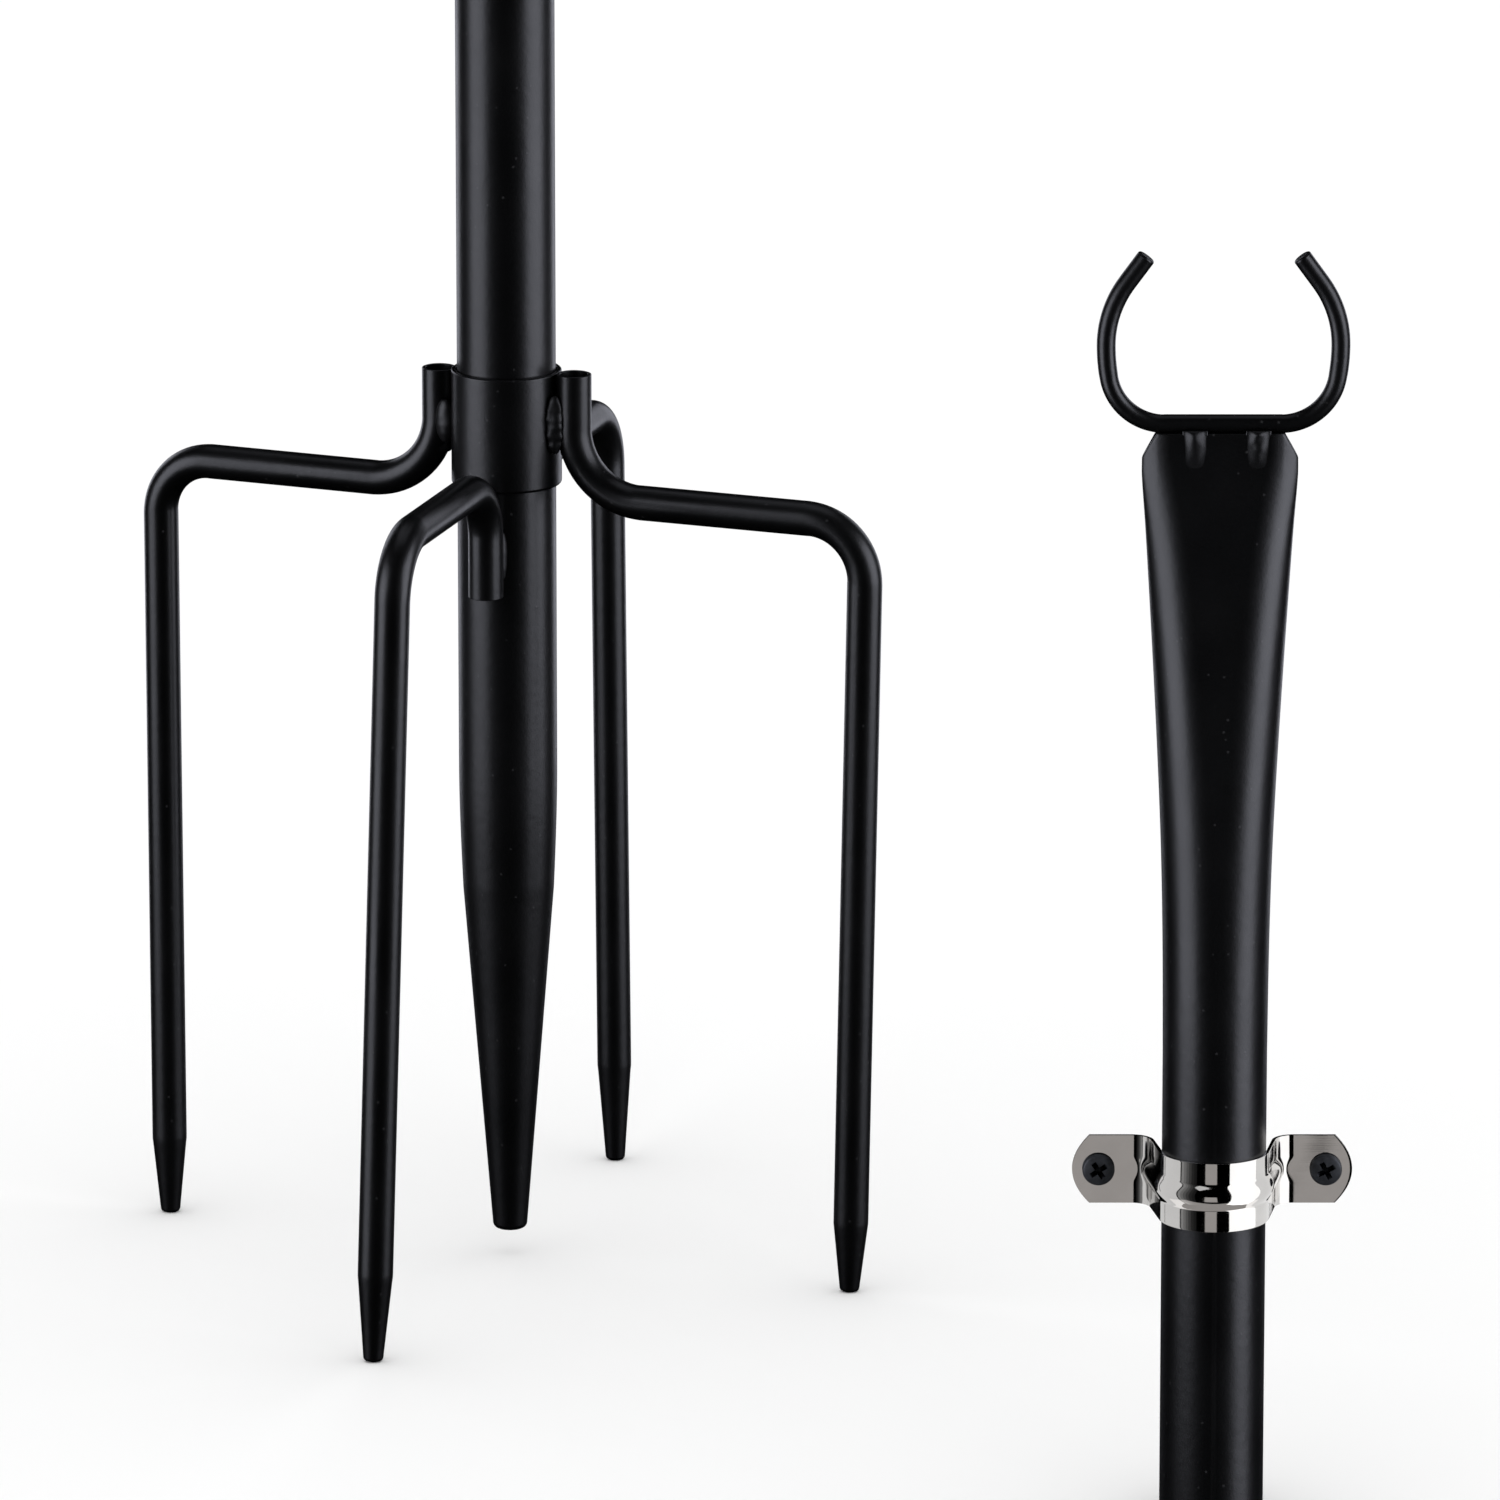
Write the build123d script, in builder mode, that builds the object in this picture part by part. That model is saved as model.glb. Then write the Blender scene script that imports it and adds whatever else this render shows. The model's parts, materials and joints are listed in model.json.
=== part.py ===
from build123d import *

import math
import os

# Stake base and top section of a sectional garden pole for a bird feeder.
# The frame's origin is on the ground under the spike's axis, +Z up, millimetres.
# The four prong tips and the foot of the top section stand on the ground plane.

# ---- tubes and their plug joint ----
POLE_OD = 25.4
POLE_WALL = 1.2
SPIGOT_GAP = 0.08  # radial running gap of a reduced tube end in a tube's bore
SPIGOT_WALL = 1.1
NECK = 2.0  # height of the cone between full and reduced diameter
SEAT_GAP = 0.05  # axial gap where two pieces stand on each other
POLE_R = POLE_OD / 2
BORE_R = POLE_R - POLE_WALL
SPIGOT_R = BORE_R - SPIGOT_GAP

# ---- spike tube ----
SPIKE_TIP_Z = 6.8
SPIKE_TIP_R = 4.35
SPIKE_TIP_ROUND = 1.5
CONE_TOP_Z = 99.0
CONE_TOP_R = 11.75
TAPER_TOP_Z = 133.0
SPIKE_TOP_Z = 221.0
SPIKE_PLUG_Z = 24.0  # below this height the drawn-down tube is closed

# ---- collar ----
COLLAR_R = 14.2
COLLAR_BORE_R = 13.0
COLLAR_Z = 206.4
COLLAR_HEIGHT = 30.0
COLLAR_LIP_ROUND = 0.4
COLLAR_FOOT_ROUND = 0.9

# ---- prongs ----
PRONG_R = 4.5
PRONG_WALL = 1.0
PRONG_TIP_R = 2.5
PRONG_TIP_ROUND = 0.9
TIP_LIFT = 0.1  # keeps the edge of a leaning tip on the ground
STUB_UP_R = COLLAR_R + PRONG_R + SEAT_GAP
STUB_DOWN_R = POLE_R + PRONG_R + SEAT_GAP

# ---- prong welds ----
BEAD_R = 1.9
BEAD_OFFSET = 4.1  # sideways from the line where the tubes touch
BEAD_RISE = 0.8  # how far a bead's axis stands out from the tube's face
BEAD_END_ROUND = 1.5

# ---- base pole ----
FOOT_SPIGOT = 45.0
HEAD_SHOULDER_Z = 352.0
HEAD_SPIGOT = 36.0
LEAD_IN = 1.5

# ---- top section ----
TOP_X = 175.5
TOP_Y = -222.0
FLAT_Z = 266.0  # widest line of the flattened end
FLAT_TOP_Z = 272.2
FLAT_WIDTH = 37.6
FLAT_THICKNESS = 6.0
FLAT_FACET = 24.0  # width of the flat facets at the top, front and back
FLAT_TOP_WIDTH = 30.4
FLARE_START_Z = 120.0  # the tube is round below this height
FLARE_START_FACET = 1.0
# height, outer width, outer thickness and facet width of the tube while it is pressed from round to flat
FLARE_SECTIONS = [
    (145.0, 25.9, 25.0, 1.2),
    (168.0, 27.0, 24.0, 2.6),
    (190.0, 28.9, 22.2, 5.0),
    (216.0, 31.7, 19.2, 9.0),
    (240.0, 34.6, 14.8, 13.6),
    (255.0, 36.5, 10.2, 18.4),
    (FLAT_Z, FLAT_WIDTH, FLAT_THICKNESS, FLAT_FACET),
]

# ---- cradle ----
WIRE_R = 2.3
CRADLE_SHIFT = 0.6  # the wire stands this far to the right of the tube's axis
BAR_Z = FLAT_TOP_Z + 1.85  # the wire lies in the open end of the tube, on the edges of its walls
BAR_HALF = 13.95
CORNER_BEND_R = 13.7
CORNER_TURN = 80.0
SIDE_BEND_R = 47.0
SIDE_TURN = 10.0
UPPER_BEND_R = 26.0
UPPER_TURN = 36.0
CRADLE_TIP = 8.0
WIRE_END_ROUND = 0.45

# ---- cradle welds ----
WELD_OFFSETS = {"left": -6.2, "right": 9.1}
LOBE_SPACING = 3.2
LOBE_R = 0.95
LOBE_LENGTH = 7.5
LOBE_OVERLAP = 2.0  # how far a lobe runs up in front of the wire
LOBE_END_ROUND = 0.7

# ---- strap ----
STRAP_Z = 84.1  # middle of the band
STRAP_THICKNESS = 0.8
STRAP_GAP = 0.08
BAND_HEIGHT = 17.2
STRAP_SPAN = 68.5  # over both ears
EAR_CUT = 4.2  # how far the convex end of an ear falls back at its corners
WALL_LEAN = 10.0  # degrees the strap's side walls lean outward
EAR_BEND_R = 4.5
SCREW_SPACING = 55.6
EAR_HOLE_R = 2.4
RIB_HALF = 3.0
RIB_RISE = 1.3
STRAP_MID_R = POLE_R + STRAP_GAP + STRAP_THICKNESS / 2
EAR_MID_Y = POLE_R - STRAP_THICKNESS / 2

# ---- screws ----
HEAD_R = 3.95
HEAD_HEIGHT = 1.9
HEAD_EDGE = 0.8
DOME_POINT = (0.62, 0.84)  # share of the head's radius and height that the dome passes through
SCREW_NECK_R = 2.15
SCREW_NECK = 1.0  # length of the thicker neck that passes through the ear
SHANK_R = 1.9
SHANK_LENGTH = 17.0
POINT_LENGTH = 4.5
RECESS_WIDTH = 1.0
RECESS_SPAN = 4.4
RECESS_DEPTH = 1.3
RECESS_TURN = {"left": 33.0, "right": 28.0}

os.makedirs("parts", exist_ok=True)


def flare_section(height, width, thickness, facet, wall):
    """Sketch of the pressed tube at a height: two flat facets joined by half ellipses, inset by a wall."""
    reach = (width - facet) / 2 - wall
    depth = thickness / 2 - wall
    with BuildSketch(Plane(origin=(TOP_X, TOP_Y, height))) as section:
        with BuildLine():
            Line((-facet / 2, depth), (facet / 2, depth))
            EllipticalCenterArc((facet / 2, 0), reach, depth, 90, arc_size=-180)
            Line((facet / 2, -depth), (-facet / 2, -depth))
            EllipticalCenterArc((-facet / 2, 0), reach, depth, 270, arc_size=-180)
        make_face()
    return section.sketch


def round_section(radius):
    """Sketch of the round tube where the flare starts, its circle split where the facets begin."""
    facet_angle = 2 * math.degrees(math.asin(FLARE_START_FACET / 2 / radius))
    side_angle = 180 - facet_angle
    with BuildSketch(Plane(origin=(TOP_X, TOP_Y, FLARE_START_Z))) as section:
        with BuildLine():
            CenterArc((0, 0), radius, 90 + facet_angle / 2, -facet_angle)
            CenterArc((0, 0), radius, 90 - facet_angle / 2, -side_angle)
            CenterArc((0, 0), radius, 270 + facet_angle / 2, -facet_angle)
            CenterArc((0, 0), radius, 270 - facet_angle / 2, -side_angle)
        make_face()
    return section.sketch


def polar(angle, radius, height):
    """Point at a compass angle in degrees, a distance from the spike's axis and a height."""
    turn = math.radians(angle)
    return Vector(radius * math.cos(turn), radius * math.sin(turn), height)


# ---- spike tube: straight socket, gentle taper, long cone, blunt closed tip ----
with BuildPart() as spike_tube:
    with BuildSketch(Plane.XZ):
        with BuildLine():
            Line((BORE_R, SPIKE_TOP_Z), (POLE_R, SPIKE_TOP_Z))
            Line((POLE_R, SPIKE_TOP_Z), (POLE_R, TAPER_TOP_Z))
            TangentArc((POLE_R, TAPER_TOP_Z), (CONE_TOP_R, CONE_TOP_Z), tangent=(0, -1))
            tip_corner = (SPIKE_TIP_R, SPIKE_TIP_Z + SPIKE_TIP_ROUND)
            Line((CONE_TOP_R, CONE_TOP_Z), tip_corner)
            RadiusArc(tip_corner, (SPIKE_TIP_R - SPIKE_TIP_ROUND, SPIKE_TIP_Z), SPIKE_TIP_ROUND)
            Line((SPIKE_TIP_R - SPIKE_TIP_ROUND, SPIKE_TIP_Z), (0, SPIKE_TIP_Z))
            Line((0, SPIKE_TIP_Z), (0, SPIKE_PLUG_Z))
            Line((0, SPIKE_PLUG_Z), (SPIKE_TIP_R, SPIKE_PLUG_Z))
            Line((SPIKE_TIP_R, SPIKE_PLUG_Z), (CONE_TOP_R - POLE_WALL, CONE_TOP_Z))
            Line((CONE_TOP_R - POLE_WALL, CONE_TOP_Z), (BORE_R, TAPER_TOP_Z))
            Line((BORE_R, TAPER_TOP_Z), (BORE_R, SPIKE_TOP_Z))
        make_face()
    revolve(axis=Axis.Z)

# ---- collar: sleeve with a rounded lip and a rounded lower edge ----
with BuildPart() as collar:
    with BuildSketch(Plane.XY.offset(COLLAR_Z)):
        Circle(COLLAR_R)
        Circle(COLLAR_BORE_R, mode=Mode.SUBTRACT)
    extrude(amount=COLLAR_HEIGHT)
    top_edges = collar.edges().group_by(Axis.Z)[-1]
    bottom_edge = collar.edges().group_by(Axis.Z)[0].sort_by(SortBy.LENGTH)[-1]
    fillet(top_edges, COLLAR_LIP_ROUND)
    fillet(bottom_edge, COLLAR_FOOT_ROUND)

# ---- base pole: tube with a reduced foot in the spike tube and a reduced head above ----
foot_z = SPIKE_TOP_Z - FOOT_SPIGOT
shoulder_z = SPIKE_TOP_Z + SEAT_GAP
head_z = HEAD_SHOULDER_Z + HEAD_SPIGOT
spigot_bore = SPIGOT_R - SPIGOT_WALL
with BuildPart() as base_pole:
    with BuildSketch(Plane.XZ):
        with BuildLine():
            Polyline(
                (spigot_bore, foot_z),
                (SPIGOT_R - LEAD_IN / 2, foot_z),
                (SPIGOT_R, foot_z + LEAD_IN),
                (SPIGOT_R, shoulder_z),
                (POLE_R, shoulder_z),
                (POLE_R, HEAD_SHOULDER_Z - NECK),
                (SPIGOT_R, HEAD_SHOULDER_Z),
                (SPIGOT_R, head_z - LEAD_IN),
                (SPIGOT_R - LEAD_IN / 2, head_z),
                (spigot_bore, head_z),
                (spigot_bore, HEAD_SHOULDER_Z),
                (BORE_R, HEAD_SHOULDER_Z - 2 * NECK),
                (BORE_R, shoulder_z + 2 * NECK),
                (spigot_bore, shoulder_z + POLE_WALL),
                close=True,
            )
        make_face()
    revolve(axis=Axis.Z)

# ---- prongs: each a bent thin tube with an open stub and a leg that tapers to a blunt tip ----
# direction of the arm, height of the stub's open end, elbow radius, arm height, leg distance at the arm,
# knee radius, direction and distance of the tip, length of the tapered tip
PRONGS = {
    "left": (157.6, 235.2, 18.5, 204.3, 98.0, 14.5, 157.4, 97.6, 20.0),
    "right": (-21.6, 236.6, 18.5, 204.2, 99.0, 15.5, -21.7, 94.9, 18.0),
    "front": (-107.4, 180.0, 15.0, 210.6, 90.0, 15.5, -109.0, 102.0, 22.0),
    "back": (73.6, 180.0, 15.0, 207.2, 88.0, 17.0, 72.9, 90.4, 26.0),
}
prongs = {}
for side, shape in PRONGS.items():
    arm_angle, stub_z, elbow_r, arm_z, leg_r, knee_r, tip_angle, tip_r, taper = shape
    stub_r = STUB_UP_R if stub_z > arm_z else STUB_DOWN_R
    stub_end = polar(arm_angle, stub_r, stub_z)
    elbow = polar(arm_angle, stub_r, arm_z)
    knee = polar(arm_angle, leg_r, arm_z)
    tip = polar(tip_angle, tip_r, TIP_LIFT)
    leg = (tip - knee).normalized()
    taper_start = tip - leg * taper
    with BuildPart() as prong:
        with BuildLine() as route:
            FilletPolyline(stub_end, elbow, knee, taper_start, radius=[elbow_r, knee_r])
        with BuildSketch(Plane(origin=stub_end, z_dir=(elbow - stub_end).normalized())):
            Circle(PRONG_R)
            Circle(PRONG_R - PRONG_WALL, mode=Mode.SUBTRACT)
        sweep(path=route.line)
        with BuildSketch(Plane(origin=taper_start, z_dir=leg)):
            Circle(PRONG_R)
        with BuildSketch(Plane(origin=tip, z_dir=leg)):
            Circle(PRONG_TIP_R)
        loft()
        tip_edge = prong.edges().filter_by(GeomType.CIRCLE).sort_by(Axis.Z)[0]
        fillet(tip_edge, PRONG_TIP_ROUND)
    prong.part.label = f"prong_{side}"
    prongs[side] = prong.part

# ---- prong welds: a bead in the groove at each side of the line where stub and tube touch ----
# tube that the stub is welded to, its radius, lowest and highest point of the bead
PRONG_WELDS = {
    "left": (collar.part, COLLAR_R, STUB_UP_R, 214.5, 229.0),
    "right": (collar.part, COLLAR_R, STUB_UP_R, 213.0, 227.0),
    "front": (spike_tube.part, POLE_R, STUB_DOWN_R, 183.5, 196.5),
    "back": (spike_tube.part, POLE_R, STUB_DOWN_R, 184.0, 197.0),
}
prong_welds = {}
for side, (tube, tube_r, stub_r, low, high) in PRONG_WELDS.items():
    arm_angle = PRONGS[side][0]
    with BuildPart() as weld:
        for sideways in (-BEAD_OFFSET, BEAD_OFFSET):
            bead = Plane(origin=polar(arm_angle, tube_r + BEAD_RISE, low), x_dir=polar(arm_angle, 1, 0))
            with BuildSketch(bead):
                with Locations((0, sideways)):
                    Circle(BEAD_R)
            extrude(amount=high - low)
        fillet(weld.edges().filter_by(GeomType.CIRCLE), BEAD_END_ROUND)
        add(tube, mode=Mode.SUBTRACT)
        add(prongs[side], mode=Mode.SUBTRACT)
    weld.part.label = f"weld_{side}"
    prong_welds[side] = weld.part

# ---- top pole: open socket foot, round tube, pressed flat and wide towards the top ----
with BuildPart() as top_pole:
    with BuildSketch(Plane(origin=(TOP_X, TOP_Y, 0))):
        Circle(POLE_R)
    extrude(amount=FLARE_START_Z)
    loft([round_section(POLE_R)] + [flare_section(*values, 0) for values in FLARE_SECTIONS])
    extrude(flare_section(*FLARE_SECTIONS[-1], 0), amount=FLAT_TOP_Z - FLAT_Z)
    with BuildSketch(Plane(origin=(TOP_X, TOP_Y, 0))):
        Circle(BORE_R)
    extrude(amount=FLARE_START_Z, mode=Mode.SUBTRACT)
    bore_sections = [flare_section(*values, POLE_WALL) for values in FLARE_SECTIONS]
    loft([round_section(BORE_R)] + bore_sections, mode=Mode.SUBTRACT)
    extrude(flare_section(*FLARE_SECTIONS[-1], POLE_WALL), amount=FLAT_TOP_Z - FLAT_Z, mode=Mode.SUBTRACT)
    with BuildSketch(Plane(origin=(TOP_X, TOP_Y, 0), z_dir=(0, -1, 0), x_dir=(1, 0, 0))):
        for side in (-1, 1):
            with BuildLine():
                Polyline(
                    (side * FLAT_WIDTH / 2, FLAT_Z),
                    (side * FLAT_TOP_WIDTH / 2, FLAT_TOP_Z),
                    (side * FLAT_WIDTH / 2, FLAT_TOP_Z),
                    close=True,
                )
            make_face()
    extrude(amount=FLAT_THICKNESS, both=True, mode=Mode.SUBTRACT)

# ---- cradle: round wire bent to a C that opens upward, its bar on the flat tube end ----
cradle_face = Plane(origin=(TOP_X + CRADLE_SHIFT, TOP_Y, BAR_Z), x_dir=(1, 0, 0), z_dir=(0, -1, 0))
with BuildPart() as cradle:
    with BuildLine(cradle_face) as wire:
        bar = Line((0, 0), (BAR_HALF, 0))
        corner = JernArc(bar @ 1, (1, 0), CORNER_BEND_R, CORNER_TURN)
        corner_end = math.radians(CORNER_TURN)
        side_start = (
            BAR_HALF + CORNER_BEND_R * math.sin(corner_end),
            CORNER_BEND_R * (1 - math.cos(corner_end)),
        )
        JernArc(side_start, (math.cos(corner_end), math.sin(corner_end)), SIDE_BEND_R, SIDE_TURN)
        upper_start = (
            side_start[0] + SIDE_BEND_R * (1 - math.sin(corner_end)),
            side_start[1] + SIDE_BEND_R * math.cos(corner_end),
        )
        JernArc(upper_start, (0, 1), UPPER_BEND_R, UPPER_TURN)
        lean = math.radians(UPPER_TURN)
        tip_start = (
            upper_start[0] - UPPER_BEND_R * (1 - math.cos(lean)),
            upper_start[1] + UPPER_BEND_R * math.sin(lean),
        )
        tip_end = (
            tip_start[0] - CRADLE_TIP * math.sin(lean),
            tip_start[1] + CRADLE_TIP * math.cos(lean),
        )
        Line(tip_start, tip_end)
        mirror(about=Plane(cradle_face.origin, z_dir=(1, 0, 0)))
    path = wire.wires()[0]
    with BuildSketch(Plane(origin=path @ 0, z_dir=path % 0)):
        Circle(WIRE_R)
    sweep(path=path)
    wire_ends = cradle.faces().filter_by(GeomType.PLANE).sort_by(Axis.Z)[-2:]
    fillet(wire_ends.edges(), WIRE_END_ROUND)

# ---- cradle welds: two short upright lobes under the bar on the front of the flat end ----
front_y = TOP_Y - FLAT_THICKNESS / 2
cradle_welds = {}
for side, offset in WELD_OFFSETS.items():
    with BuildPart() as weld:
        for lobe in (-1, 1):
            lobe_x = TOP_X + offset + lobe * LOBE_SPACING / 2
            with BuildSketch(Plane(origin=(lobe_x, front_y, BAR_Z - LOBE_LENGTH - WIRE_R))):
                Circle(LOBE_R)
            extrude(amount=LOBE_LENGTH + LOBE_OVERLAP)
        fillet(weld.edges().filter_by(GeomType.CIRCLE), LOBE_END_ROUND)
        add(top_pole.part, mode=Mode.SUBTRACT)
        add(cradle.part, mode=Mode.SUBTRACT)
    weld.part.label = f"weld_cradle_{side}"
    cradle_welds[side] = weld.part

# ---- strap: ribbed half ring round the tube, leaning ribbed walls, concave bends and flat ears ----
strap_axis = Plane(origin=(TOP_X, TOP_Y, STRAP_Z))
strap_face = Plane(origin=strap_axis.origin, x_dir=(1, 0, 0), z_dir=(0, -1, 0))
wall_heading = math.radians(90 - WALL_LEAN)
wall_foot_y = -STRAP_MID_R * math.cos(wall_heading)
wall_top_y = EAR_MID_Y - EAR_BEND_R * (1 - math.cos(wall_heading))
with BuildPart() as strap:
    with BuildLine(strap_axis) as route:
        ring = JernArc((0, -STRAP_MID_R), (1, 0), STRAP_MID_R, 90 - WALL_LEAN)
        wall_foot = (STRAP_MID_R * math.sin(wall_heading), wall_foot_y)
        wall_top = (wall_foot[0] + (wall_top_y - wall_foot_y) / math.tan(wall_heading), wall_top_y)
        Line(wall_foot, wall_top)
        heading = (math.cos(wall_heading), math.sin(wall_heading))
        JernArc(wall_top, heading, EAR_BEND_R, WALL_LEAN - 90)
        mirror(about=Plane(strap_axis.origin, z_dir=(1, 0, 0)))
    path = route.wires()[0]
    with BuildSketch(Plane(origin=path @ 0, x_dir=(0, -1, 0), z_dir=path % 0)):
        with BuildLine():
            for face in (STRAP_THICKNESS / 2, -STRAP_THICKNESS / 2):
                Line((face, -BAND_HEIGHT / 2), (face, -RIB_HALF))
                ThreePointArc((face, -RIB_HALF), (face + RIB_RISE, 0), (face, RIB_HALF))
                Line((face, RIB_HALF), (face, BAND_HEIGHT / 2))
            for edge in (-BAND_HEIGHT / 2, BAND_HEIGHT / 2):
                Line((-STRAP_THICKNESS / 2, edge), (STRAP_THICKNESS / 2, edge))
        make_face()
    sweep(path=path)
    ear_start = wall_top[0] + EAR_BEND_R * math.sin(wall_heading)
    ear_corner = STRAP_SPAN / 2 - EAR_CUT
    with BuildSketch(strap_face.offset(-EAR_MID_Y - STRAP_THICKNESS / 2)):
        for side in (-1, 1):
            with BuildLine():
                Polyline(
                    (side * ear_corner, BAND_HEIGHT / 2),
                    (side * ear_start, BAND_HEIGHT / 2),
                    (side * ear_start, -BAND_HEIGHT / 2),
                    (side * ear_corner, -BAND_HEIGHT / 2),
                )
                ThreePointArc(
                    (side * ear_corner, -BAND_HEIGHT / 2),
                    (side * STRAP_SPAN / 2, 0),
                    (side * ear_corner, BAND_HEIGHT / 2),
                )
            make_face()
        with GridLocations(SCREW_SPACING, 0, 2, 1):
            Circle(EAR_HOLE_R, mode=Mode.SUBTRACT)
    extrude(amount=STRAP_THICKNESS)

# ---- screws: domed head with a cross recess on the ear's front, pointed shank through the hole ----
ear_front_y = TOP_Y + EAR_MID_Y - STRAP_THICKNESS / 2
dome_middle = (HEAD_R * DOME_POINT[0], -HEAD_HEIGHT * DOME_POINT[1])
screws = {}
for side, turn in RECESS_TURN.items():
    screw_x = TOP_X + (SCREW_SPACING / 2 if side == "right" else -SCREW_SPACING / 2)
    under_head = Plane(origin=(screw_x, ear_front_y - SEAT_GAP, STRAP_Z), x_dir=(1, 0, 0), z_dir=(0, -1, 0))
    with BuildPart() as screw:
        with BuildSketch(Plane(under_head.origin, x_dir=(1, 0, 0), z_dir=(0, 0, 1))):
            with BuildLine():
                Polyline(
                    (0, -HEAD_HEIGHT),
                    (0, SHANK_LENGTH + POINT_LENGTH),
                    (SHANK_R, SHANK_LENGTH),
                    (SHANK_R, SCREW_NECK),
                    (SCREW_NECK_R, SCREW_NECK),
                    (SCREW_NECK_R, 0),
                    (HEAD_R, 0),
                    (HEAD_R, -HEAD_EDGE),
                )
                ThreePointArc((HEAD_R, -HEAD_EDGE), dome_middle, (0, -HEAD_HEIGHT))
            make_face()
        revolve(axis=Axis(under_head.origin, (0, 1, 0)))
        with BuildSketch(under_head.offset(HEAD_HEIGHT - RECESS_DEPTH)):
            Rectangle(RECESS_SPAN, RECESS_WIDTH, rotation=turn)
            Rectangle(RECESS_WIDTH, RECESS_SPAN, rotation=turn)
        extrude(amount=HEAD_HEIGHT, mode=Mode.SUBTRACT)
    screw.part.label = f"screw_{side}"
    screws[side] = screw.part

spike_tube.part.label = "spike_tube"
collar.part.label = "collar"
base_pole.part.label = "base_pole"
top_pole.part.label = "top_pole"
cradle.part.label = "cradle"
strap.part.label = "strap"

export_step(spike_tube.part, "parts/spike_tube.step")
export_step(collar.part, "parts/collar.step")
export_step(base_pole.part, "parts/base_pole.step")
export_step(top_pole.part, "parts/top_pole.step")
export_step(cradle.part, "parts/cradle.step")
export_step(strap.part, "parts/strap.step")
for side in PRONGS:
    export_step(prongs[side], f"parts/prong_{side}.step")
    export_step(prong_welds[side], f"parts/weld_{side}.step")
for side in WELD_OFFSETS:
    export_step(cradle_welds[side], f"parts/weld_cradle_{side}.step")
    export_step(screws[side], f"parts/screw_{side}.step")
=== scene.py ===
import json
import math

import bmesh
import bpy
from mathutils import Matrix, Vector, noise

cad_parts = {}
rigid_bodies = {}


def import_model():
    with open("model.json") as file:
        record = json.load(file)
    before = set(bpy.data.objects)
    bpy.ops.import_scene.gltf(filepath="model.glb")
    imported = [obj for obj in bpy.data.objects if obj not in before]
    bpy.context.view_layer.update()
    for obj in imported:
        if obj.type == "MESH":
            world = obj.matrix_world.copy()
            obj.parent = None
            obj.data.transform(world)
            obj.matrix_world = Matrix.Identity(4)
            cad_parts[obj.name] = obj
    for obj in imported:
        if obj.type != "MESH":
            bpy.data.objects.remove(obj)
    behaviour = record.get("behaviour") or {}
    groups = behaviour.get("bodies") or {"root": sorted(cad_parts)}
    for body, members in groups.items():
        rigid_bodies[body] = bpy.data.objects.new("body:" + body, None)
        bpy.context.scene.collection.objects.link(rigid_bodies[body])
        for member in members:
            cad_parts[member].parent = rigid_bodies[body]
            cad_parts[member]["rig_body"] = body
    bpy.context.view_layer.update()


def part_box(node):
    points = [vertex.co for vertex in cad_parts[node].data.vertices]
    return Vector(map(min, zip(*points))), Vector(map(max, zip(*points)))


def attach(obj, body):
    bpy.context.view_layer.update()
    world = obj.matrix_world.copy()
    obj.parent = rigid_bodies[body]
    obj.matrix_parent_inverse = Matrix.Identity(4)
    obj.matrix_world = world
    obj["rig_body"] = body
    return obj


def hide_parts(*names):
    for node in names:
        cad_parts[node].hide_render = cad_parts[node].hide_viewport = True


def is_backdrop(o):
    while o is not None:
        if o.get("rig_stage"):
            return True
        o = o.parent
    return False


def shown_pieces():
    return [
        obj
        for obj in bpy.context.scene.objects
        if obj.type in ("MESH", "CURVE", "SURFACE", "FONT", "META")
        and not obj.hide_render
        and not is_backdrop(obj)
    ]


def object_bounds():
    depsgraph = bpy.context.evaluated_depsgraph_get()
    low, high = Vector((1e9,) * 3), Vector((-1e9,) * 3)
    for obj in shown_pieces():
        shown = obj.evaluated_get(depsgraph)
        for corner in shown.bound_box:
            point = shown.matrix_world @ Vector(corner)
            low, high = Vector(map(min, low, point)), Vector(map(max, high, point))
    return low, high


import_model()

MM = 0.001
ROUND = 96  # points round a tube

# ---- dimensions of the frame, in millimetres ----
POLE_R = 12.7
BORE_R = 11.5
SPIGOT_R = 11.42
SPIGOT_BORE_R = 10.32
PRONG_R = 4.5
PRONG_BORE_R = 3.5
COLLAR_R = 14.2
WIRE_R = 2.3
POLE_WALL = 1.2
EDGE = 0.25  # usual rounding of a cut edge under its coat

top_low, top_high = (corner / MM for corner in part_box("top_pole"))
TOP = Vector(((top_low.x + top_high.x) / 2, (top_low.y + top_high.y) / 2, 0))
TOP_Z = top_high.z
strap_low, strap_high = (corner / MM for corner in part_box("strap"))
STRAP_Z = (strap_low.z + strap_high.z) / 2
spike_low, spike_high = (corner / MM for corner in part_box("spike_tube"))
collar_low, collar_high = (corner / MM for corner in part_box("collar"))
pole_low, pole_high = (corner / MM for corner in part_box("base_pole"))


# ---- materials ----
def shader(name, colour, roughness, metallic=0.0, specular=0.5):
    """A new material with its Principled shader, node tree and object coordinates."""
    material = bpy.data.materials.new(name)
    material.use_nodes = True
    tree = material.node_tree
    principled = tree.nodes["Principled BSDF"]
    principled.inputs["Base Color"].default_value = (*colour, 1)
    principled.inputs["Roughness"].default_value = roughness
    principled.inputs["Metallic"].default_value = metallic
    principled.inputs["Specular IOR Level"].default_value = specular
    coordinates = tree.nodes.new("ShaderNodeTexCoord").outputs["Object"]
    return material, tree, principled, coordinates


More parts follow.
